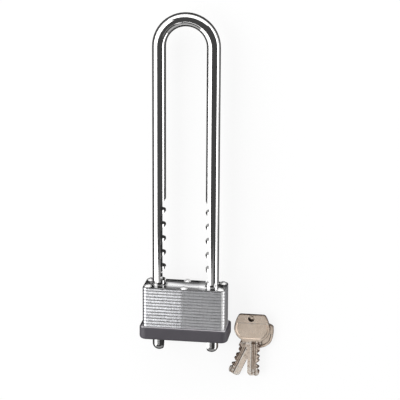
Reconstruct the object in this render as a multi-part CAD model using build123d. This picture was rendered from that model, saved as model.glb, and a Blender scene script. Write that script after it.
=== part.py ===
"""Laminated padlock with a ratcheting, adjustable-length shackle, and its two flat keys.

The lock lies on its back. +X is to the right, +Y runs from the case towards the bow of the
shackle, and +Z points out of the front face. The origin is the centre of the flat back face
of the bumper. "Depth" is measured backwards from the middle of the case, so the front is
negative. All lengths are in millimetres.
"""

import os
from math import asin, cos, radians, sin, sqrt

from build123d import *

# ---------------------------------------------------------------- laminated case
case_width = 44.0
case_depth = 16.5
case_corner = 2.2
plate_count = 16
plate_thickness = 1.68
plate_edge_round = 0.34
top_edge_round = 0.62

# ---------------------------------------------------------------- bumper round the case's foot
bumper_wall = 1.7
bumper_lip = 1.76
bumper_plate_count = 3
bumper_fit = 0.05
bumper_foot_round = 1.5
bumper_rim_round = 0.6
leg_opening_gap = 0.5
key_opening_radius = 5.2
head_pocket_gap = 0.15

# ---------------------------------------------------------------- rivets
rivet_radius = 1.1
rivet_fit = 0.05
rivet_head_radius = 2.05
rivet_head_height = 1.1
corner_rivet_side_inset = 2.6
corner_rivet_face_inset = 3.05
middle_rivet_face_inset = 2.1

# ---------------------------------------------------------------- shackle
rod_diameter = 7.14
leg_spacing = 28.2
leg_fit = 0.10
bow_rise = 86.3
tail_length = 8.55
tail_gap = 0.15
tail_ramp = 1.2
tip_flat = 0.2
ledge_count = 10
held_ledge = 6
ledge_pitch = 7.75
ledge_gap = 0.3
notch_depth = 2.4
crest_round = 0.8
ramp_head = 1.0
ramp_foot = 3.5
top_notch_flat = 2.5
top_notch_reach = 5.7
cutter_overrun = 1.0

# ---------------------------------------------------------------- pawls and cam
cap_plate_count = 1
pawl_plate_count = 2
cam_plate_count = 1
clip_plate_count = 1
pawl_play = 0.2
pawl_half_width = 3.0
nose_reach = 1.2
nose_bevel = 0.9
pawl_travel = 2.4
head_length = 3.5
arm_inner_depth = 0.2
arm_outer_depth = 4.2
arm_root = 0.7
hook_wall = 1.2
cam_radius = 3.2
cam_pin_radius = 0.6
cam_pin_gap = 0.3
cam_play = 0.1
cavity_gap = 0.15
cam_window_gap = 0.3
tang_size = 2.6
tang_fit = 0.03
pawl_spring_radius = 1.2
pawl_spring_wire = 0.4
pawl_spring_turns = 7
pawl_spring_depth = 1.7
spring_end_gap = 0.1

# ---------------------------------------------------------------- lock cylinder
plug_radius = 4.0
plug_fit = 0.05
shell_radius = 4.5
shell_fit = 0.05
pin_block_reach = 8.6
pin_block_half_depth = 3.0
pin_cover_thickness = 0.8
neck_radius = 3.2
neck_height = 1.35
shell_roof = 1.6
clip_radius = 4.25
clip_bore = 2.62
clip_thickness = 0.6
clip_play = 0.05
clip_mouth = 3.4
clip_window_gap = 0.15
tang_depth = 1.2

# ---------------------------------------------------------------- pins
pin_count = 4
pin_pitch = 2.9
first_pin = 3.6
pin_radius = 1.12
pin_fit = 0.08
driver_length = 2.0
shear_gap = 0.15
key_pin_inset = 0.25
pin_spring_radius = 0.9
pin_spring_wire = 0.28
pin_spring_turns = 4

# ---------------------------------------------------------------- keys
key_thickness = 2.0
key_edge_round = 0.35
blade_chamfer = 0.25
bow_half_width = 9.65
bow_widest_drop = 1.75
bow_top = 6.6
bow_top_half_width = 6.9
bow_bottom = 8.2
bow_corner_round = 1.8
upper_flank = (0.9, 0.45)
lower_flank = (0.86, 0.66)
neck_half_width = 5.1
stop_below = 11.8
neck_overlap = 0.5
blade_width = 6.5
blade_length = 16.3
blade_offset = 1.0
blade_fit = 0.12
blade_tip_round = 2.0
cut_codes = (3, 1, 4, 2)
cut_step = 0.35
cut_base = 0.2
cut_floor = 0.5
cut_slope = 0.8
key_hole_radius = 1.7
key_hole_x = -0.4
key_hole_rise = 4.4
panel_margin = 1.5
panel_depth = 0.35
panel_draft = 45.0
panel_top = 1.6
groove_width = 1.3
groove_slope = 0.55
groove_depth = 0.6
front_groove_x = 0.0
back_groove_x = 1.1
step_width = 1.2
step_depth = 0.4
groove_fit = 0.15
key_stack_gap = 0.05
upper_key_x = 35.0
upper_key_y = 1.45
upper_key_turn = 0.0
lower_key_x = 37.2
lower_key_y = -1.7
lower_key_turn = -24.0

# ---------------------------------------------------------------- worked-out places
rod_radius = rod_diameter / 2
leg_x = leg_spacing / 2
leg_inner = leg_x - rod_radius
case_mid = case_depth / 2 + bumper_wall
corner_rivet_x = case_width / 2 - corner_rivet_side_inset
corner_rivet_depth = case_depth / 2 - corner_rivet_face_inset
middle_rivet_depth = case_depth / 2 - middle_rivet_face_inset
bumper_height = bumper_lip + bumper_plate_count * plate_thickness
bumper_floor = -bumper_height / 2
stack_bottom = bumper_floor + bumper_lip
stack_top = stack_bottom + plate_count * plate_thickness

cap_plate = cap_plate_count
cam_plate = cap_plate + pawl_plate_count + cam_plate_count
clip_plate = cam_plate + clip_plate_count
pawl_roof = stack_top - cap_plate_count * plate_thickness
pawl_floor = pawl_roof - pawl_plate_count * plate_thickness
pawl_top = pawl_roof - pawl_play
pawl_bottom = pawl_floor + pawl_play
cam_floor = pawl_floor - cam_plate_count * plate_thickness
shell_top = cam_floor - clip_plate_count * plate_thickness
shell_bottom = stack_bottom + plate_thickness
bore_top = shell_top - shell_roof

held_ledge_y = pawl_bottom - ledge_gap
top_ledge_y = held_ledge_y + held_ledge * ledge_pitch
low_ledge_y = top_ledge_y - (ledge_count - 1) * ledge_pitch
tip_y = low_ledge_y - tail_length
bow_centre_y = top_ledge_y + bow_rise

nose_x = leg_inner + nose_reach
tail_notch_depth = nose_reach + tail_gap
head_inner_x = nose_x - head_length
cam_pin_reach = pawl_travel / sqrt(2)
cam_pin_offset = pawl_travel / 2
slot_half = cam_pin_radius + cam_pin_gap
hook_end_x = hook_wall + slot_half - cam_pin_offset
cavity_x = head_inner_x + arm_root + cavity_gap
cavity_depth = arm_outer_depth + cavity_gap

plug_top = shell_top + neck_height
cam_bottom = cam_floor + cam_play
cam_top = pawl_floor - cam_play
chamber_radius = pin_radius + pin_fit
shear_x = plug_radius - key_pin_inset
driver_inner_x = plug_radius + shear_gap
driver_outer_x = driver_inner_x + driver_length
blade_half = blade_width / 2
cut_depths = [cut_base + code * cut_step for code in cut_codes]


# ---------------------------------------------------------------- helpers
def plan(y):
    """A plane across the lock at height y: its x is +X, its y is depth, its normal is +Y."""
    return Plane(origin=(0, y, case_mid), x_dir=(1, 0, 0), z_dir=(0, 1, 0))


def prism(shape, low, high):
    """A flat shape drawn in plan, standing from y = low to y = high."""
    return extrude(plan(low) * shape, amount=high - low)


def upright_rod(x, depth, radius, low, high):
    return prism(Pos(x, depth) * Circle(radius), low, high)


def cross_rod(y, radius, near, far):
    """A round rod lying along X in the middle of the case's depth, from x = near to x = far."""
    start = Plane(origin=(near, y, case_mid), x_dir=(0, 1, 0), z_dir=(1, 0, 0))
    return extrude(start * Circle(radius), amount=far - near)


def coil(x, y, depth, length, radius, wire, turns):
    """A compression spring along +X whose wire starts at x and ends at x + length."""
    pitch = (length - wire) / turns
    start = (x + wire / 2, y, case_mid - depth)
    path = Helix(pitch, pitch * turns, radius, center=start, direction=(1, 0, 0))
    section = Plane(origin=path @ 0, z_dir=path % 0) * Circle(wire / 2)
    return sweep(section, path=path)


def half_turn(shape):
    """The same piece turned by 180 degrees about the lock's own long axis."""
    return shape.rotate(Axis((0, 0, case_mid), (0, 1, 0)), 180)


def write(node, pieces):
    solids = [solid for piece in pieces for solid in piece.solids()]
    export_step(solids[0] if len(solids) == 1 else Compound(solids), f"parts/{node}.step")


# ---------------------------------------------------------------- case
def rivet_places():
    corners = [(x, d) for x in (-corner_rivet_x, corner_rivet_x)
               for d in (-corner_rivet_depth, corner_rivet_depth)]
    return corners + [(0, -middle_rivet_depth), (0, middle_rivet_depth)]


def plate_blank(low, top_round):
    blank = prism(RectangleRounded(case_width, case_depth, case_corner), low, low + plate_thickness)
    blank = fillet(blank.faces().sort_by(Axis.Y)[-1].edges(), top_round)
    blank = fillet(blank.faces().sort_by(Axis.Y)[0].edges(), plate_edge_round)
    for side in (-leg_x, leg_x):
        blank -= upright_rod(side, 0, rod_radius + leg_fit, low, low + plate_thickness)
    for x, depth in rivet_places():
        blank -= upright_rod(x, depth, rivet_radius + rivet_fit, low, low + plate_thickness)
    return blank


def shell_outline(gap):
    block_x = pin_block_reach + pin_cover_thickness
    block = Pos(block_x / 2, 0) * Rectangle(block_x + 2 * gap, 2 * (pin_block_half_depth + gap))
    return Circle(shell_radius + gap) + block


def plate_window(number):
    """The opening in the middle of a plate, by its place in the stack. The cap plate has none."""
    if number == cap_plate:
        return None
    if number < cam_plate:
        middle = Rectangle(2 * cavity_x, 2 * cavity_depth)
        return middle + Rectangle(leg_spacing, 2 * (pawl_half_width + cavity_gap))
    if number == cam_plate:
        return Circle(cam_radius + cam_window_gap)
    if number == clip_plate:
        return Circle(clip_radius + clip_window_gap)
    if number < plate_count:
        return shell_outline(shell_fit)
    return Circle(plug_radius + plug_fit)


def plate(number):
    low = stack_top - number * plate_thickness
    blank = plate_blank(low, top_edge_round if number == cap_plate else plate_edge_round)
    window = plate_window(number)
    if window is not None:
        blank -= prism(window, low, low + plate_thickness)
    return blank


def rivet():
    """One rivet on the Y axis: a plain shank with a low dome peened over at each end."""
    dome = (rivet_head_radius**2 + rivet_head_height**2) / (2 * rivet_head_height)
    half_angle = asin(rivet_head_radius / dome) / 2
    reach = dome * sin(half_angle)
    rise = rivet_head_height - dome * (1 - cos(half_angle))
    top, low = stack_top, stack_bottom
    outline = [
        Line((0, low - rivet_head_height), (0, top + rivet_head_height)),
        ThreePointArc((0, top + rivet_head_height), (reach, top + rise), (rivet_head_radius, top)),
        Line((rivet_head_radius, top), (rivet_radius, top)),
        Line((rivet_radius, top), (rivet_radius, low)),
        Line((rivet_radius, low), (rivet_head_radius, low)),
        ThreePointArc((rivet_head_radius, low), (reach, low - rise), (0, low - rivet_head_height)),
    ]
    return revolve(make_face(outline), Axis.Y)


def rivets():
    return [Pos(x, 0, case_mid - depth) * rivet() for x, depth in rivet_places()]


def bumper():
    wide, deep = case_width + 2 * bumper_wall, case_depth + 2 * bumper_wall
    corner = case_corner + bumper_wall
    block = prism(RectangleRounded(wide, deep, corner), bumper_floor, bumper_floor + bumper_height)
    block = fillet(block.faces().sort_by(Axis.Y)[0].edges(), bumper_foot_round)
    block = fillet(block.faces().sort_by(Axis.Y)[-1].edges(), bumper_rim_round)
    inside = RectangleRounded(case_width + 2 * bumper_fit, case_depth + 2 * bumper_fit,
                              case_corner + bumper_fit)
    block -= prism(inside, stack_bottom, bumper_floor + bumper_height)
    for side in (-leg_x, leg_x):
        block -= upright_rod(side, 0, rod_radius + leg_opening_gap, bumper_floor, stack_bottom)
    block -= upright_rod(0, 0, key_opening_radius, bumper_floor, stack_bottom)
    pocket_floor = stack_bottom - rivet_head_height - head_pocket_gap
    for x, depth in rivet_places():
        block -= upright_rod(x, depth, rivet_head_radius + head_pocket_gap, pocket_floor, stack_bottom)
    return block


# ---------------------------------------------------------------- lock cylinder
def pin_heights():
    return [stack_bottom + first_pin + i * pin_pitch for i in range(pin_count)]


def cylinder_shell():
    block = Pos(pin_block_reach / 2, 0) * Rectangle(pin_block_reach, 2 * pin_block_half_depth)
    shell = prism(Circle(shell_radius) + block, shell_bottom, shell_top)
    shell -= upright_rod(0, 0, plug_radius + plug_fit, shell_bottom, bore_top)
    shell -= upright_rod(0, 0, neck_radius + plug_fit, bore_top, shell_top)
    for y in pin_heights():
        shell -= cross_rod(y, chamber_radius, 0, pin_block_reach)
    return shell


def pin_cover():
    strip = Rectangle(pin_cover_thickness, 2 * pin_block_half_depth)
    return prism(Pos(pin_block_reach + pin_cover_thickness / 2, 0) * strip, shell_bottom, shell_top)


def driver_pins():
    return [cross_rod(y, pin_radius, driver_inner_x, driver_outer_x) for y in pin_heights()]


def pin_springs():
    length = pin_block_reach - driver_outer_x - 2 * spring_end_gap
    start = driver_outer_x + spring_end_gap
    return [coil(start, y, 0, length, pin_spring_radius - pin_spring_wire / 2, pin_spring_wire,
                 pin_spring_turns) for y in pin_heights()]


def keyway():
    """The slot for the blade, with a ward on each side that runs in the blade's groove."""
    slot = Rectangle(blade_width + 2 * blade_fit, key_thickness + 2 * blade_fit)
    ward_high = groove_depth - groove_fit + blade_fit
    ward_deep = key_thickness / 2 + blade_fit - ward_high / 2
    ward = Rectangle(groove_width - 2 * groove_fit, ward_high)
    slot -= Pos(front_groove_x, -ward_deep) * ward
    slot -= Pos(back_groove_x, ward_deep) * ward
    return slot


def plug():
    body = upright_rod(0, 0, plug_radius, stack_bottom, bore_top - plug_fit)
    body += upright_rod(0, 0, neck_radius, bore_top - plug_fit, plug_top)
    body -= prism(keyway(), stack_bottom, stack_bottom + blade_length + 2 * blade_fit)
    for y in pin_heights():
        body -= cross_rod(y, chamber_radius, 0, plug_radius)
    groove_low = shell_top + clip_play
    groove = Circle(neck_radius) - Circle(clip_bore - clip_play)
    body -= prism(groove, groove_low, groove_low + clip_thickness + 2 * clip_play)
    socket = Rectangle(tang_size + 2 * tang_fit, tang_size + 2 * tang_fit)
    return body - prism(socket, plug_top - tang_depth, plug_top)


def plug_clip():
    low = shell_top + 2 * clip_play
    ring = Circle(clip_radius) - Circle(clip_bore)
    ring -= Pos(0, clip_radius / 2) * Rectangle(clip_mouth, clip_radius)
    return prism(ring, low, low + clip_thickness)


def key_pins():
    return [cross_rod(y, pin_radius, blade_half - depth, shear_x)
            for y, depth in zip(pin_heights(), cut_depths)]


def cam():
    """A disc with two pins, front and back, that draw the pawls in as the plug turns."""
    disc = upright_rod(0, 0, cam_radius, cam_bottom, cam_top)
    tang = Rectangle(tang_size, tang_size)
    disc += prism(tang, plug_top - tang_depth + cam_play, cam_bottom)
    for side in (-1, 1):
        disc += upright_rod(side * cam_pin_offset, side * cam_pin_offset, cam_pin_radius,
                            cam_top, pawl_top - cam_play)
    return disc


# ---------------------------------------------------------------- pawls
def pawl_left():
    """A beveled head that bears in the left leg's notches, and a hooked arm over the cam."""
    head = Pos(-(nose_x + head_inner_x) / 2, 0) * Rectangle(head_length, 2 * pawl_half_width)
    arm_deep = (arm_inner_depth + arm_outer_depth) / 2
    arm_wide = arm_outer_depth - arm_inner_depth
    arm_start = -(head_inner_x + arm_root)
    blank = head + Pos((arm_start + hook_end_x) / 2, -arm_deep) * Rectangle(
        hook_end_x - arm_start, arm_wide)
    slot_reach = cam_pin_reach + slot_half
    blank -= Pos(-cam_pin_offset, -slot_reach / 2) * Rectangle(2 * slot_half, slot_reach)
    pawl = prism(blank, pawl_bottom, pawl_top)
    bevel = Plane(origin=(0, 0, case_mid)) * make_face(Polyline(
        (-nose_x, pawl_top), (-nose_x + nose_bevel, pawl_top), (-nose_x, pawl_top - nose_bevel),
        close=True))
    return pawl - extrude(bevel, amount=pawl_half_width, both=True)


def pawl_spring_left():
    """In the back lane, between the left pawl's head and the right pawl's hook."""
    length = head_inner_x - hook_end_x - 2 * spring_end_gap
    return coil(-head_inner_x + spring_end_gap, (pawl_top + pawl_bottom) / 2, pawl_spring_depth,
                length, pawl_spring_radius - pawl_spring_wire / 2, pawl_spring_wire,
                pawl_spring_turns)


# ---------------------------------------------------------------- shackle
def notch(side, ledge, flat, reach):
    """One notch as a cutter: a ledge that faces the bow, a flat floor, and a ramp back out."""
    def at(inwards, y):
        return (side * (leg_inner + inwards), y)

    outline = Polyline(
        at(crest_round, ledge), at(notch_depth, ledge), at(notch_depth, ledge + flat),
        at(0, ledge + reach), at(-cutter_overrun, ledge + reach),
        at(-cutter_overrun, ledge - crest_round),
        at(0, ledge - crest_round))
    lean = crest_round * (1 - sqrt(0.5))
    crest = ThreePointArc(at(0, ledge - crest_round), at(lean, ledge - lean), at(crest_round, ledge))
    return notch_cutter([outline, crest])


def notch_cutter(outline):
    face = Plane(origin=(0, 0, case_mid)) * make_face(outline)
    return extrude(face, amount=rod_diameter, both=True)


def tail_notch(side):
    """The last ramp and the flat below it, which runs out through the leg's tip."""
    x = [side * (leg_inner + inwards) for inwards in (0, tail_notch_depth, -cutter_overrun)]
    foot = low_ledge_y - ramp_head - tail_ramp
    end = tip_y - cutter_overrun
    return notch_cutter([Polyline(
        (x[0], low_ledge_y - ramp_head), (x[1], foot), (x[1], end), (x[2], end),
        (x[2], low_ledge_y - ramp_head), close=True)])


def shackle():
    path = (
        Line((-leg_x, tip_y, case_mid), (-leg_x, bow_centre_y, case_mid))
        + ThreePointArc((-leg_x, bow_centre_y, case_mid), (0, bow_centre_y + leg_x, case_mid),
                        (leg_x, bow_centre_y, case_mid))
        + Line((leg_x, bow_centre_y, case_mid), (leg_x, tip_y, case_mid))
    )
    start = Plane(origin=(-leg_x, tip_y, case_mid), x_dir=(1, 0, 0), z_dir=(0, 1, 0))
    rod = sweep(start * Circle(rod_radius), path=path)
    tips = rod.faces().filter_by(GeomType.PLANE).sort_by(Axis.Y)[:2]
    rod = fillet([edge for tip in tips for edge in tip.edges()], rod_radius - tip_flat)
    for side in (-1, 1):
        rod -= notch(side, top_ledge_y, top_notch_flat, top_notch_reach)
        for i in range(1, ledge_count):
            ledge = top_ledge_y - i * ledge_pitch
            rod -= notch(side, ledge, ledge_pitch - ramp_foot, ledge_pitch - ramp_head)
        rod -= tail_notch(side)
    return rod


# ---------------------------------------------------------------- keys
def bow_outline():
    """The key's bow: a flat top and round flanks, widest a little below its middle."""
    def flank(side):
        half = side * bow_half_width
        top = (side * bow_top_half_width, bow_top)
        wide = (half, -bow_widest_drop)
        low = (side * neck_half_width, -bow_bottom)
        upper = ThreePointArc(top, (half * upper_flank[0], bow_top * upper_flank[1]), wide)
        lower = ThreePointArc(wide, (half * lower_flank[0], -bow_bottom * lower_flank[1]), low)
        return [upper, lower]

    top = Line((-bow_top_half_width, bow_top), (bow_top_half_width, bow_top))
    low = Line((-neck_half_width, -bow_bottom), (neck_half_width, -bow_bottom))
    return make_face([top, low] + flank(-1) + flank(1))


def rims(piece):
    """The edges all round the two flat faces of a piece that lies flat."""
    faces = piece.faces().sort_by(Axis.Z)
    return faces[0].edges() + faces[-1].edges()


def blade():
    """Neck and blade, pointing down, with the bitting cut into the right-hand edge."""
    shape = Pos(blade_offset, -stop_below - blade_length / 2) * Rectangle(blade_width, blade_length)
    shape = fillet(shape.vertices().sort_by(Axis.Y)[:2], blade_tip_round)
    body = extrude(shape, amount=key_thickness)
    body = chamfer(rims(body), blade_chamfer)
    edge = blade_offset + blade_half
    clear = edge + cutter_overrun
    for i, depth in enumerate(cut_depths):
        y = -stop_below - first_pin - i * pin_pitch
        half = cut_floor + depth * cut_slope
        body -= extrude(make_face(Polyline(
            (clear, y + half), (edge, y + half), (edge - depth, y + cut_floor),
            (edge - depth, y - cut_floor), (edge, y - half), (clear, y - half), close=True)),
            amount=key_thickness)
    neck_top = neck_overlap - bow_bottom
    neck = Rectangle(2 * neck_half_width, neck_top + stop_below)
    return body + extrude(Pos(0, (neck_top - stop_below) / 2) * neck, amount=key_thickness)


def channel(x, face, inwards):
    """A groove with sloping sides that runs down the blade, cut into the face at z = face."""
    half = groove_width / 2
    plane = Plane(origin=(blade_offset + x, -bow_bottom, face), x_dir=(1, 0, 0), z_dir=(0, -1, 0))
    outline = Polyline((-half - groove_slope, 0), (-half, inwards), (half, inwards),
                       (half + groove_slope, 0), close=True)
    return extrude(plane * make_face(outline), amount=blade_length + stop_below - bow_bottom)


def key():
    """One key, face up on z = 0, its bow centred on the origin and its blade along -Y."""
    bow = extrude(bow_outline(), amount=key_thickness)
    bow = fillet(bow.edges().filter_by(Axis.Z), bow_corner_round)
    bow = fillet(rims(bow), key_edge_round)
    body = bow + blade()
    panel = offset(bow_outline(), -panel_margin)
    panel -= Pos(0, panel_top + bow_top) * Rectangle(4 * bow_half_width, 2 * bow_top)
    recess = extrude(panel, amount=panel_depth, taper=-panel_draft)
    body -= Pos(0, 0, key_thickness - panel_depth) * recess
    body -= Pos(0, 0, panel_depth) * mirror(recess, about=Plane.XY)
    body -= channel(front_groove_x, key_thickness, -groove_depth)
    body -= channel(back_groove_x, 0, groove_depth)
    step = Rectangle(step_width, blade_length, align=(Align.MIN, Align.MAX))
    step_corner = Pos(blade_offset - blade_half, -stop_below, key_thickness - step_depth)
    body -= step_corner * extrude(step, amount=step_depth)
    hole = Pos(key_hole_x, key_hole_rise) * Circle(key_hole_radius)
    return body - extrude(hole, amount=key_thickness)


def placed_key(x, y, turn, floor, face_up):
    piece = key() if face_up else Pos(0, 0, key_thickness) * Rot(0, 180, 0) * key()
    return Pos(x, y, floor) * Rot(0, 0, turn) * piece


# ---------------------------------------------------------------- the whole assembly
def build():
    os.makedirs("parts", exist_ok=True)
    for number in range(1, plate_count + 1):
        write(f"plate_{number:02d}", [plate(number)])
    write("rivets", rivets())
    write("bumper", [bumper()])
    write("cylinder_shell", [cylinder_shell()])
    write("pin_cover", [pin_cover()])
    write("driver_pins", driver_pins())
    write("pin_springs", pin_springs())
    write("plug", [plug()])
    write("plug_clip", [plug_clip()])
    write("key_pins", key_pins())
    write("cam", [cam()])
    write("pawl_left", [pawl_left()])
    write("pawl_right", [half_turn(pawl_left())])
    write("pawl_spring_left", [pawl_spring_left()])
    write("pawl_spring_right", [half_turn(pawl_spring_left())])
    write("shackle", [shackle()])
    upper_floor = key_thickness + key_stack_gap
    lower = placed_key(lower_key_x, lower_key_y, lower_key_turn, 0, face_up=False)
    upper = placed_key(upper_key_x, upper_key_y, upper_key_turn, upper_floor, face_up=True)
    write("key_lower", [lower])
    write("key_upper", [upper])


build()
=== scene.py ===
from math import cos, pi, radians, sin, tan

import bpy
from mathutils import Matrix, Vector


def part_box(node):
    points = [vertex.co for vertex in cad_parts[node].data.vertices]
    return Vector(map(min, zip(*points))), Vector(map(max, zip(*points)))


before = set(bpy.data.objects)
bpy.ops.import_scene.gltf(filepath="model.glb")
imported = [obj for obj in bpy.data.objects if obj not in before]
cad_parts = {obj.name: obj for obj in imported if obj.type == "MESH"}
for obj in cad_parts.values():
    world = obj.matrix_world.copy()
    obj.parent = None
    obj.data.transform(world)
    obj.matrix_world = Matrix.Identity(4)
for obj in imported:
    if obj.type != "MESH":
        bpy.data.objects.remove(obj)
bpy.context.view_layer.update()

MM = 0.001

# ---------------------------------------------------------------- places taken from the frame
plate_low, plate_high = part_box("plate_01")
shackle_low, shackle_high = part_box("shackle")
stack_top = plate_high.y
plate_pitch = plate_high.y - plate_low.y
case_mid = (plate_low.z + plate_high.z) / 2
case_half_depth = (plate_high.z - plate_low.z) / 2
bumper_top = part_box("bumper")[1].y
bow_top = shackle_high.y
rod_diameter = shackle_high.z - shackle_low.z
leg_x = (shackle_high.x - shackle_low.x - rod_diameter) / 2

PLATES = sorted(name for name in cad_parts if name.startswith("plate_"))
BRASS = ["cylinder_shell", "pin_cover", "driver_pins", "plug", "key_pins"]
CAST = ["cam", "pawl_left", "pawl_right"]
SPRINGS = ["pin_springs", "plug_clip", "pawl_spring_left", "pawl_spring_right"]

# Upright axes, as how far they stand from the lock's middle sideways and in depth.
LEG = (leg_x, 0.0)
CORNER_RIVET = (19.4 * MM, 5.2 * MM)
MIDDLE_RIVET = (0.0, 6.15 * MM)

# Where each key's bow is centred, how many degrees the key is turned, and whether it lies face up.
KEY_PLACES = {
    "key_upper": (35.0 * MM, 1.45 * MM, 0.0, True),
    "key_lower": (37.2 * MM, -1.7 * MM, -24.0, False),
}


# ---------------------------------------------------------------- shader building
class Value:
    """One output socket of a finish. Arithmetic on it adds Math nodes."""

    def __init__(self, finish, socket):
        self.finish = finish
        self.socket = socket

    def math(self, operation, first, second=None):
        inputs = {0: first}
        if second is not None:
            inputs[1] = second
        return self.finish.add("ShaderNodeMath", {"operation": operation}, inputs)

    def __add__(self, other):
        return self.math("ADD", self, other)

    def __radd__(self, other):
        return self.math("ADD", other, self)

    def __sub__(self, other):
        return self.math("SUBTRACT", self, other)

    def __rsub__(self, other):
        return self.math("SUBTRACT", other, self)

    def __mul__(self, other):
        return self.math("MULTIPLY", self, other)

    def __rmul__(self, other):
        return self.math("MULTIPLY", other, self)

    def __truediv__(self, other):
        return self.math("DIVIDE", self, other)

    def __pow__(self, other):
        return self.math("POWER", self, other)

    def absolute(self):
        return self.math("ABSOLUTE", self)

    def fraction(self):
        return self.math("FRACT", self)

    def above(self, start, end):
        """0 up to start, 1 from end on, and smooth between them."""
        return self.finish.add("ShaderNodeMapRange", {"interpolation_type": "SMOOTHSTEP"},
                               {"Value": self, "From Min": start, "From Max": end})

    def below(self, start, end):
        """1 up to start, 0 from end on, and smooth between them."""
        return 1.0 - self.above(start, end)

    def within(self, start, full, fading, end):
        """1 from full to fading, 0 outside start and end, and smooth between them."""
        return self.above(start, full) * self.below(fading, end)


class Finish:
    """A procedural material: its nodes, and the Principled shader they feed."""

    def __init__(self, name, **constants):
        self.material = bpy.data.materials.new(name)
        self.material.use_nodes = True
        self.nodes = self.material.node_tree.nodes
        self.links = self.material.node_tree.links
        self.shader = self.nodes["Principled BSDF"]
        self.feed_shader(**constants)

    def add(self, kind, settings=None, inputs=None, output=0):
        """Add a node and give back one of its outputs, or several where output is a tuple."""
        node = self.nodes.new(kind)
        for name, value in (settings or {}).items():
            setattr(node, name, value)
        for name, value in (inputs or {}).items():
            self.feed(node.inputs[name], value)
        if isinstance(output, tuple):
            return [Value(self, node.outputs[each]) for each in output]
        return Value(self, node.outputs[output])

    def feed(self, socket, value):
        if isinstance(value, Value):
            self.links.new(value.socket, socket)
        else:
            socket.default_value = value

    def feed_shader(self, **sockets):
        for name, value in sockets.items():
            self.feed(self.shader.inputs[name.replace("_", " ").title()], value)

    def axes(self, vector="Object"):
        """The three parts of a Texture Coordinate vector, which by default is the place."""
        point = self.add("ShaderNodeTexCoord", output=vector)
        return self.add("ShaderNodeSeparateXYZ", None, {0: point}, output=(0, 1, 2))

    def facing_up(self):
        """How squarely the surface faces along the Z axis, from 0 to 1."""
        return self.axes("Normal")[2].absolute()

    def noise(self, size, detail, roughness=0.55, stretch=(1, 1, 1)):
        """Noise whose blobs are about size metres across, stretched by the given factors."""
        scale = tuple(1 / (size * factor) for factor in stretch)
        point = self.add("ShaderNodeTexCoord", output="Object")
        place = self.add("ShaderNodeMapping", {"vector_type": "POINT"},
                         {"Vector": point, "Scale": scale})
        return self.add("ShaderNodeTexNoise", {"normalize": True},
                        {"Vector": place, "Scale": 1.0, "Detail": detail,
                         "Roughness": roughness})

    def ring(self, axis, inner, outer):
        """1 between two radii round an upright axis and its mirror images."""
        x, y, z = self.axes()
        across = x.absolute() - axis[0]
        deep = (z - case_mid).absolute() - axis[1]
        reach = (across * across + deep * deep) ** 0.5
        edge = (outer - inner) * 0.3
        return reach.within(inner - edge, inner, outer - edge, outer)

    def blend(self, factor, first, second):
        """A colour between two others."""
        return self.add("ShaderNodeMix", {"data_type": "RGBA"},
                        {0: factor, 6: first, 7: second}, output=2)

    def paint(self, colour, *layers):
        """Lay colours over a first one. A layer is its mask, its strength and its colour."""
        for mask, strength, layer in layers:
            colour = self.blend(mask * strength, colour, layer)
        return colour

    def bump(self, height, depth, strength):
        return self.add("ShaderNodeBump", None,
                        {"Height": height, "Distance": depth, "Strength": strength})

    def put_on(self, names):
        for name in names:
            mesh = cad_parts[name].data
            mesh.materials.clear()
            mesh.materials.append(self.material)


def grey(level, warmth=0.0):
    """A linear grey, slightly warm where warmth is above 0."""
    return (level * (1 + warmth), level, level * (1 - warmth), 1.0)


# ---------------------------------------------------------------- finishes
DULL_ZINC = (0.72, 0.73, 0.76, 1)
BRIGHT_ZINC = (0.87, 0.87, 0.89, 1)
RUBBED_ZINC = (0.90, 0.90, 0.92, 1)
SHADED_HALF_ZINC = (0.46, 0.46, 0.47, 1)
SHEARED_ZINC = (0.40, 0.40, 0.42, 1)
LEFT_EDGE_SHADE = (0.22, 0.22, 0.23, 1)
SEAM_DIRT_AND_SHADE = (0.18, 0.17, 0.17, 1)
CHARCOAL = (0.066, 0.060, 0.072, 1)
PALE_CHARCOAL = (0.088, 0.081, 0.094, 1)
RIM_HIGHLIGHT = (0.70, 0.68, 0.70, 1)
DULL_PLATING = (0.88, 0.71, 0.57, 1)
BRIGHT_PLATING = (0.99, 0.85, 0.72, 1)
BLADE_SHEEN = (1.0, 0.86, 0.74, 1)
EDGE_GLINT = (0.98, 0.93, 0.86, 1)
BLADE_GLINT = (1.0, 0.95, 0.88, 1)
KEY_GRAIN = (0.40, 0.29, 0.20, 1)
KEY_STAIN_AND_SHADE = (0.22, 0.13, 0.08, 1)
GROOVE_SHADE = (0.20, 0.13, 0.09, 1)
UNDER_BOW_SHADE = (0.10, 0.06, 0.04, 1)
CUT_AND_SIDE_SHADE = (0.12, 0.07, 0.05, 1)
WALL_SHADE = (0.09, 0.055, 0.035, 1)
HOLE_SHADE = (0.03, 0.02, 0.015, 1)
DULL_BRASS = (0.62, 0.42, 0.17, 1)
BRIGHT_BRASS = (0.76, 0.56, 0.27, 1)


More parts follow.
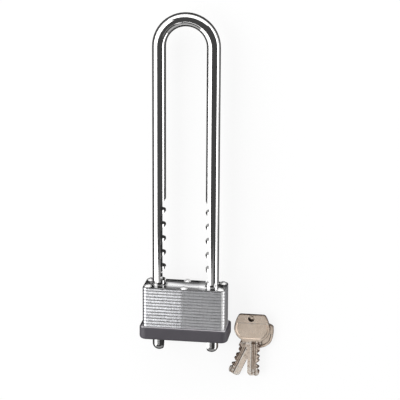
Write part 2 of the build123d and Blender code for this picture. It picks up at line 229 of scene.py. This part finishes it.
def laminated_steel():
    """Zinc-plated blanks: sheared edges with fine streaks across each plate, with dirt and painted
    shade in the seams.
    The right half is painted greyer, a painted reflection, and is a little rougher; the right
    corner has a painted highlight and the left edge painted shade. The top plate has a painted
    highlight band along its middle between painted dark reflection bands, painted highlight rings
    round the legs and painted shade rings round the rivets."""
    finish = Finish("laminated_steel", metallic=1.0)
    x, y, z = finish.axes()
    streaks = finish.noise(0.22 * MM, 2.0, 0.6, stretch=(1, 18, 1))
    rubbed = finish.noise(1.1 * MM, 2.0, 0.6, stretch=(6, 0.25, 1))
    clouds = finish.noise(6 * MM, 3.0, 0.5)
    dents = finish.noise(4 * MM, 2.0, 0.5, stretch=(2.5, 1, 0.8))

    from_top, from_right, from_left = stack_top - y, plate_high.x - x, x - plate_low.x
    on_top = from_top.below(0.1 * MM, 0.4 * MM)
    on_side = from_right.below(0.2 * MM, 0.6 * MM)
    # Painted highlight down the right corner, which is also made rougher.
    corner_highlight = from_right.within(0.2 * MM, 0.6 * MM, 1.6 * MM, 2.2 * MM)
    # Painted shade down the left edge.
    left_edge_shade = from_left.below(0.6 * MM, 1.8 * MM)
    # Painted reflection: the right half of the plates is painted greyer, and made a little
    # rougher.
    shaded_right_half = x.above(-2.0 * MM, 0.0)
    # Dirt and painted shade in the seams between plates: darker by the left edge and on the right
    # half, lighter by the right corner.
    seam = ((from_top / plate_pitch).fraction() - 0.5).absolute().above(0.30, 0.5)
    seam_depth = 0.40 + left_edge_shade * 0.5 + shaded_right_half * 0.06 - corner_highlight * 0.24

    # How far back a point of the top plate lies, so that its painted highlight band and painted
    # dark reflection bands are wavy and drift as they go.
    wave, drift = 4 * MM, 0.10
    back = plate_high.z - z + (dents - 0.5) * wave + x * drift
    top_highlight_band = back.within(4.5 * MM, 5.8 * MM, 7.0 * MM, 8.5 * MM)
    # Painted dark reflection bands across the front and back of the top plate.
    top_shade_bands = back.above(9.0 * MM, 10.5 * MM) + back.below(2.0 * MM, 3.5 * MM)
    # Painted highlight rings round the legs.
    leg_highlight_ring = finish.ring(LEG, 3.7 * MM, 5.0 * MM)
    # Painted shade rings round the rivets.
    rivet_shade_rings = (finish.ring(CORNER_RIVET, 2.1 * MM, 2.4 * MM)
                   + finish.ring(MIDDLE_RIVET, 2.1 * MM, 2.4 * MM))

    colour = finish.paint(
        finish.blend(clouds, DULL_ZINC, BRIGHT_ZINC),
        (shaded_right_half, 0.5, SHADED_HALF_ZINC),
        (streaks.above(0.50, 0.68), 0.6, SHEARED_ZINC),
        (rubbed.above(0.55, 0.72), 0.5, RUBBED_ZINC),
        (left_edge_shade, 0.85, LEFT_EDGE_SHADE),
        (corner_highlight, 0.95, grey(0.98)),
        (seam, seam_depth, SEAM_DIRT_AND_SHADE),
        ((top_highlight_band + leg_highlight_ring) * on_top, 0.8, grey(0.96)),
        ((top_shade_bands + rivet_shade_rings) * on_top, 0.7, grey(0.10)))
    spread = (leg_highlight_ring * 0.2 + corner_highlight * 0.3 + on_side * 0.22
              + shaded_right_half * 0.10 * (1.0 - on_top))
    finish.feed_shader(base_color=colour,
                       roughness=0.12 + streaks * 0.10 + clouds * 0.05 + spread,
                       normal=finish.bump(streaks * 0.04 + dents * on_top * 1.5, 0.2 * MM, 0.5))
    finish.put_on(PLATES)


def rivet_steel():
    """Bright steel heads, slightly dented by the hammer."""
    finish = Finish("rivet_steel", metallic=1.0)
    dents = finish.noise(1.2 * MM, 2.0)
    grain = finish.noise(0.2 * MM, 2.0)
    finish.feed_shader(base_color=finish.blend(dents, grey(0.86, 0.01), grey(0.97)),
                       roughness=0.42 + grain * 0.16, normal=finish.bump(dents, 0.12 * MM, 0.5))
    finish.put_on(["rivets"])


def shackle_chrome():
    """Mirror chrome with a slight haze and fine lines along the legs, and painted shade at the
    tips.
    """
    finish = Finish("shackle_chrome", metallic=1.0)
    y = finish.axes()[1]
    haze = finish.noise(20 * MM, 3.0)
    lines = finish.noise(0.15 * MM, 2.0, 0.6, stretch=(1, 60, 1))
    # Painted shade darkens the tips.
    tip_shade = (y - shackle_low.y).below(5 * MM, 8 * MM)
    colour = finish.paint(finish.blend(haze, grey(0.74, 0.01), grey(0.82)),
                          (tip_shade, 0.6, grey(0.28, 0.02)))
    finish.feed_shader(base_color=colour, roughness=0.05 + lines * 0.05 + haze * 0.02,
                       normal=finish.bump(haze, 0.06 * MM, 0.3))
    finish.put_on(["shackle"])


def bumper_plastic():
    """Charcoal plastic with a fine spark texture, and a painted highlight on the rim next to the
    case.
    """
    finish = Finish("bumper_plastic", metallic=0.0)
    x, y, z = finish.axes()
    spark = finish.noise(0.18 * MM, 3.0, 0.6)
    patches = finish.noise(8 * MM, 3.0)
    beside_case = (x.absolute() - plate_high.x).below(0.3 * MM, 0.6 * MM)
    before_case = ((z - case_mid).absolute() - case_half_depth).below(0.9 * MM, 1.2 * MM)
    # A painted highlight along the rim next to the case, which is also smoother.
    rim = (bumper_top - y).below(0.1 * MM, 0.3 * MM) * beside_case * before_case
    colour = finish.paint(finish.blend(patches, CHARCOAL, PALE_CHARCOAL), (rim, 0.8, RIM_HIGHLIGHT))
    finish.feed_shader(base_color=colour, roughness=0.44 + spark * 0.16 - rim * 0.2,
                       normal=finish.bump(spark, 0.04 * MM, 0.5))
    finish.put_on(["bumper"])


def key_metal(name):
    """Plated key blank with blotches of stain and painted shade and a painted sheen on the blade,
    painted shade in its grooves, by its cuts and sides, on its walls, under the bow and in its
    hole, and painted glints along edges, under the bow and at the tip.
    """
    finish = Finish("metal_of_" + name, metallic=1.0)

    # The origin goes to the middle of the bow, with the blade below it and the cuts to the right.
    bow_x, bow_y, turn, face_up = KEY_PLACES[name]
    x, y, _ = finish.axes()
    x, y = x - bow_x, y - bow_y
    along, side = cos(radians(turn)), sin(radians(turn))
    x, y = (x * along + y * side) * (1 if face_up else -1), y * along - x * side

    grain = finish.noise(0.12 * MM, 2.0, 0.6, stretch=(1, 30, 1))
    patches = finish.noise(3 * MM, 3.0)
    stain_and_shade_noise = finish.noise(1.4 * MM, 3.0, 0.65)
    shade_spots = finish.noise(1.3 * MM, 1.0).above(0.47, 0.53)

    on_blade = y.below(-8.8 * MM, -8.0 * MM)
    under_bow = y.within(-10.4 * MM, -10.0 * MM, -9.2 * MM, -8.8 * MM)
    tip = y.below(-23.8 * MM, -22.8 * MM)
    panel_top = y.within(1.2 * MM, 1.6 * MM, 1.8 * MM, 2.3 * MM)
    from_groove = x - (0.0 if face_up else 1.1 * MM)
    far_edge = from_groove.within(-0.8 * MM, -0.6 * MM, -0.1 * MM, 0.1 * MM) * on_blade
    groove = from_groove.within(0.4 * MM, 0.7 * MM, 1.2 * MM, 1.5 * MM) * on_blade
    step = x.below(-1.2 * MM, -0.8 * MM) * on_blade * float(face_up)
    by_the_cuts = x.above(2.2 * MM, 3.0 * MM) * on_blade
    sides = x.absolute().above(3.1 * MM, 3.6 * MM) * on_blade
    hole_x, hole_y = x + 0.4 * MM, y - 4.4 * MM
    hole = ((hole_x * hole_x + hole_y * hole_y) ** 0.5).below(1.6 * MM, 1.8 * MM)
    facing = finish.facing_up()
    sloped = facing.within(0.66, 0.70, 0.72, 0.76)
    walls = facing.below(0.75, 0.97) * (1.0 - sloped * 0.35)

    colour = finish.paint(
        finish.blend(patches, DULL_PLATING, BRIGHT_PLATING),
        # A painted sheen makes the blade lighter than the bow.
        (on_blade, 0.7, BLADE_SHEEN),
        (grain.above(0.6, 0.8), 0.4, KEY_GRAIN),
        # Blotches of stain and painted shade on the blade.
        (stain_and_shade_noise.above(0.52, 0.64) * on_blade, 0.5, KEY_STAIN_AND_SHADE),
        (far_edge + panel_top * stain_and_shade_noise.above(0.45, 0.55), 0.8, EDGE_GLINT),
        # Painted shade in the groove, and faintly along the step.
        (groove, 0.75, GROOVE_SHADE),
        (step, 0.1, GROOVE_SHADE),
        # Painted shade in spots just under the bow, and painted glints between them and at the
        # tip.
        (under_bow * shade_spots, 0.85, UNDER_BOW_SHADE),
        ((under_bow + tip) * (1.0 - shade_spots), 0.7, BLADE_GLINT),
        # Painted shade in spots by the cuts and along the blade's sides.
        (by_the_cuts * shade_spots + sides * 0.5, 0.6, CUT_AND_SIDE_SHADE),
        # Painted shade on the walls and edges, lighter on the sloped ones.
        (walls, 0.9, WALL_SHADE),
        # Painted shade in the hole.
        (hole, 0.95, HOLE_SHADE))
    finish.feed_shader(base_color=colour, roughness=0.22 + grain * 0.15,
                       normal=finish.bump(grain, 0.005 * MM, 0.5))
    finish.put_on([name])


def key_metals():
    for name in KEY_PLACES:
        key_metal(name)


def brass():
    finish = Finish("brass", metallic=1.0)
    patches = finish.noise(3 * MM, 3.0)
    turning_marks = finish.noise(0.1 * MM, 2.0, 0.6)
    finish.feed_shader(base_color=finish.blend(patches, DULL_BRASS, BRIGHT_BRASS),
                       roughness=0.25 + turning_marks * 0.15,
                       normal=finish.bump(turning_marks, 0.01 * MM, 0.4))
    finish.put_on(BRASS)


def cast_steel():
    finish = Finish("cast_steel", metallic=1.0)
    pits = finish.noise(0.3 * MM, 4.0)
    finish.feed_shader(base_color=finish.blend(pits, grey(0.30, 0.02), grey(0.46, 0.02)),
                       roughness=0.42 + pits * 0.2, normal=finish.bump(pits, 0.04 * MM, 0.6))
    finish.put_on(CAST)


def spring_steel():
    finish = Finish("spring_steel", metallic=1.0)
    grain = finish.noise(0.2 * MM, 2.0)
    finish.feed_shader(base_color=finish.blend(grain, grey(0.40, 0.01), grey(0.58, 0.01)),
                       roughness=0.2 + grain * 0.15)
    finish.put_on(SPRINGS)


# ---------------------------------------------------------------- stage
TABLE_SIZE = 6.0
TABLE_GAP = 0.2 * MM
TABLE_ROUGHNESS = 0.9
TABLE_ALBEDO = 0.15
# How bright the table looks to the camera, and to the metal where it isn't dark.
TABLE_GLOW = 0.86
METAL_SEES = 0.45
# The metal sees the table's own colour dimmed by this much.
GLOSSY_DIMMING = 0.8
# How bright two of the painted reflection patches are beside the rest of what the metal sees.
BETWEEN_THE_LEGS = 0.8
BY_THE_TOP_PLATE = 2.6


def white_table():
    """A table that is white to the eye and keeps the shadows. To the metal it is a painted
    reflection: dark close to each leg, which gives the rods their dark edges, and glowing in
    patches at the sides, between the legs, beyond the bow and behind the top plate."""
    bpy.ops.mesh.primitive_plane_add(size=TABLE_SIZE, location=(0, 0, -TABLE_GAP))
    table = bpy.context.object
    table.name = "table"
    finish = Finish("table_white", roughness=TABLE_ROUGHNESS, emission_strength=1.0)
    x, y, _ = finish.axes()
    left_side = (-leg_x - x).above(120 * MM, 400 * MM)
    right_side = (x - leg_x).above(8 * MM, 40 * MM)
    between = x.within(5 * MM, 8 * MM, 10.5 * MM, 12.5 * MM) * (y - bow_top).below(-10 * MM, 0.0)
    beyond = (y - bow_top).above(20 * MM, 80 * MM)
    by_the_top = ((y - stack_top).within(2 * MM, 3 * MM, 5 * MM, 7 * MM)
                  * x.absolute().below(11 * MM, 13 * MM))
    camera_ray, glossy_ray, through_ray = finish.add(
        "ShaderNodeLightPath", output=("Is Camera Ray", "Is Glossy Ray", "Is Transmission Ray"))
    # Painted reflections: patches of the table glow for the metal alone.
    painted_reflection_glow = METAL_SEES * (left_side + right_side + between * BETWEEN_THE_LEGS + beyond
                                  + by_the_top * BY_THE_TOP_PLATE)
    finish.feed_shader(
        emission_color=camera_ray * TABLE_GLOW + (glossy_ray + through_ray) * painted_reflection_glow,
        base_color=TABLE_ALBEDO * (1.0 - glossy_ray * GLOSSY_DIMMING))
    table.data.materials.append(finish.material)


# ---------------------------------------------------------------- light
CEILING_GLOW = 0.07
# How far out the side panels stand, and where the back and front ones stand along Y.
PANEL_REACH = 0.6
BACK_PANEL_Y = 0.75
FRONT_PANEL_Y = -0.55
PANEL_FLOOR = 0.005
LEFT_PANEL_FLOOR = 0.10
# Degrees from straight up at which each panel ends, seen from the lock.
LEFT_PANEL_TOP = 26
RIGHT_PANEL_TOP = 68
BACK_PANEL_TOP = 55
FRONT_PANEL_TOP = 51
LEFT_PANEL_GLOW = 2.4
RIGHT_PANEL_GLOW = 3.2
BACK_PANEL_GLOW = 2.4
FRONT_PANEL_GLOW = 0.45
# Flat cards overhead: two side by side that the front of the lock mirrors, and one for the keys.
CARD_HEIGHT = 0.5
CARD_LEFT_X = -0.6
CARD_SPLIT_X = -0.072
CARD_RIGHT_X = 0.3
CARD_NEAR_Y = -0.13
CARD_MIDDLE_Y = -0.188
CARD_FAR_Y = -0.33
LEFT_CARD_GLOW = 1.9
RIGHT_CARD_GLOW = 0.30
KEY_CARD_LEFT_X = -0.045
KEY_CARD_RIGHT_X = 0.02
KEY_CARD_GLOW = 1.6


def softbox(name, low, high, facing, glow):
    """A flat lamp that fills the box from low to high, which is thin along the way it faces. A
    mirror shows it at the level glow, where 1 is white."""
    low, high, facing = Vector(low), Vector(high), Vector(facing)
    lamp = bpy.data.objects.new(name, bpy.data.lights.new(name, "AREA"))
    bpy.context.scene.collection.objects.link(lamp)
    lamp.location = (low + high) / 2
    lamp.rotation_euler = facing.to_track_quat("-Z", "Y").to_euler()
    across = lamp.rotation_euler.to_matrix().transposed() @ (high - low)
    lamp.data.shape = "RECTANGLE"
    lamp.data.size, lamp.data.size_y = abs(across.x), abs(across.y)
    lamp.data.energy = glow * pi * lamp.data.size * lamp.data.size_y
    lamp.visible_camera = False


def panel_height(reach, angle):
    """Where a panel at this reach meets a line that leans so many degrees from straight up."""
    return reach / tan(radians(angle))


def studio_light():
    """Panels to the left, right, back and front, and three cards overhead, under a dim ceiling."""
    world = bpy.data.worlds.new("studio")
    world.use_nodes = True
    background = world.node_tree.nodes["Background"]
    background.inputs["Color"].default_value = (1, 1, 1, 1)
    background.inputs["Strength"].default_value = CEILING_GLOW
    bpy.context.scene.world = world
    reach, back, front, floor = PANEL_REACH, BACK_PANEL_Y, FRONT_PANEL_Y, PANEL_FLOOR
    softbox("left_panel", (-reach, -reach, LEFT_PANEL_FLOOR),
            (-reach, back, panel_height(reach, LEFT_PANEL_TOP)), (1, 0, 0), LEFT_PANEL_GLOW)
    softbox("right_panel", (reach, -reach, floor),
            (reach, back, panel_height(reach, RIGHT_PANEL_TOP)), (-1, 0, 0), RIGHT_PANEL_GLOW)
    softbox("back_panel", (-reach, back, floor),
            (reach, back, panel_height(back, BACK_PANEL_TOP)), (0, -1, 0), BACK_PANEL_GLOW)
    over, down = CARD_HEIGHT, (0, 0, -1)
    softbox("left_card", (CARD_LEFT_X, CARD_MIDDLE_Y, over), (CARD_SPLIT_X, CARD_NEAR_Y, over),
            down, LEFT_CARD_GLOW)
    softbox("right_card", (CARD_SPLIT_X, CARD_MIDDLE_Y, over), (CARD_RIGHT_X, CARD_NEAR_Y, over),
            down, RIGHT_CARD_GLOW)
    softbox("key_card", (KEY_CARD_LEFT_X, CARD_FAR_Y, over),
            (KEY_CARD_RIGHT_X, CARD_MIDDLE_Y, over), down, KEY_CARD_GLOW)
    softbox("front_panel", (-reach, front, floor),
            (reach, front, panel_height(-front, FRONT_PANEL_TOP)), (0, 1, 0), FRONT_PANEL_GLOW)


# ---------------------------------------------------------------- camera
VIEW_AZIMUTH = radians(8.23)
VIEW_RISE = radians(16.23)
VIEW_ROLL = radians(0.34)
VIEW_DISTANCE = 0.8562
VIEW_TARGET = (0.00743, 0.07226, 0.00995)
LENS_MM = 148.0
SENSOR_MM = 36.0
CLIP_START = 0.05


def camera():
    """Looks down at the lock's front, a little from its right and from the bow's end."""
    back = Vector((sin(VIEW_AZIMUTH) * cos(VIEW_RISE), sin(VIEW_RISE),
                   cos(VIEW_AZIMUTH) * cos(VIEW_RISE)))
    right = (-back).cross(Vector((0, 1, 0))).normalized()
    upward = back.cross(right)
    roll = Matrix.Rotation(VIEW_ROLL, 3, back)
    turn = Matrix((roll @ right, roll @ upward, back)).transposed().to_4x4()
    lens = bpy.data.cameras.new("camera")
    lens.lens = LENS_MM
    lens.sensor_width = SENSOR_MM
    lens.clip_start = CLIP_START
    eye = bpy.data.objects.new("camera", lens)
    bpy.context.scene.collection.objects.link(eye)
    eye.matrix_world = Matrix.Translation(Vector(VIEW_TARGET) + VIEW_DISTANCE * back) @ turn
    bpy.context.scene.camera = eye


for make in (laminated_steel, rivet_steel, shackle_chrome, bumper_plastic, key_metals, brass,
             cast_steel, spring_steel, white_table, studio_light, camera):
    make()
bpy.context.scene.view_settings.view_transform = "Standard"
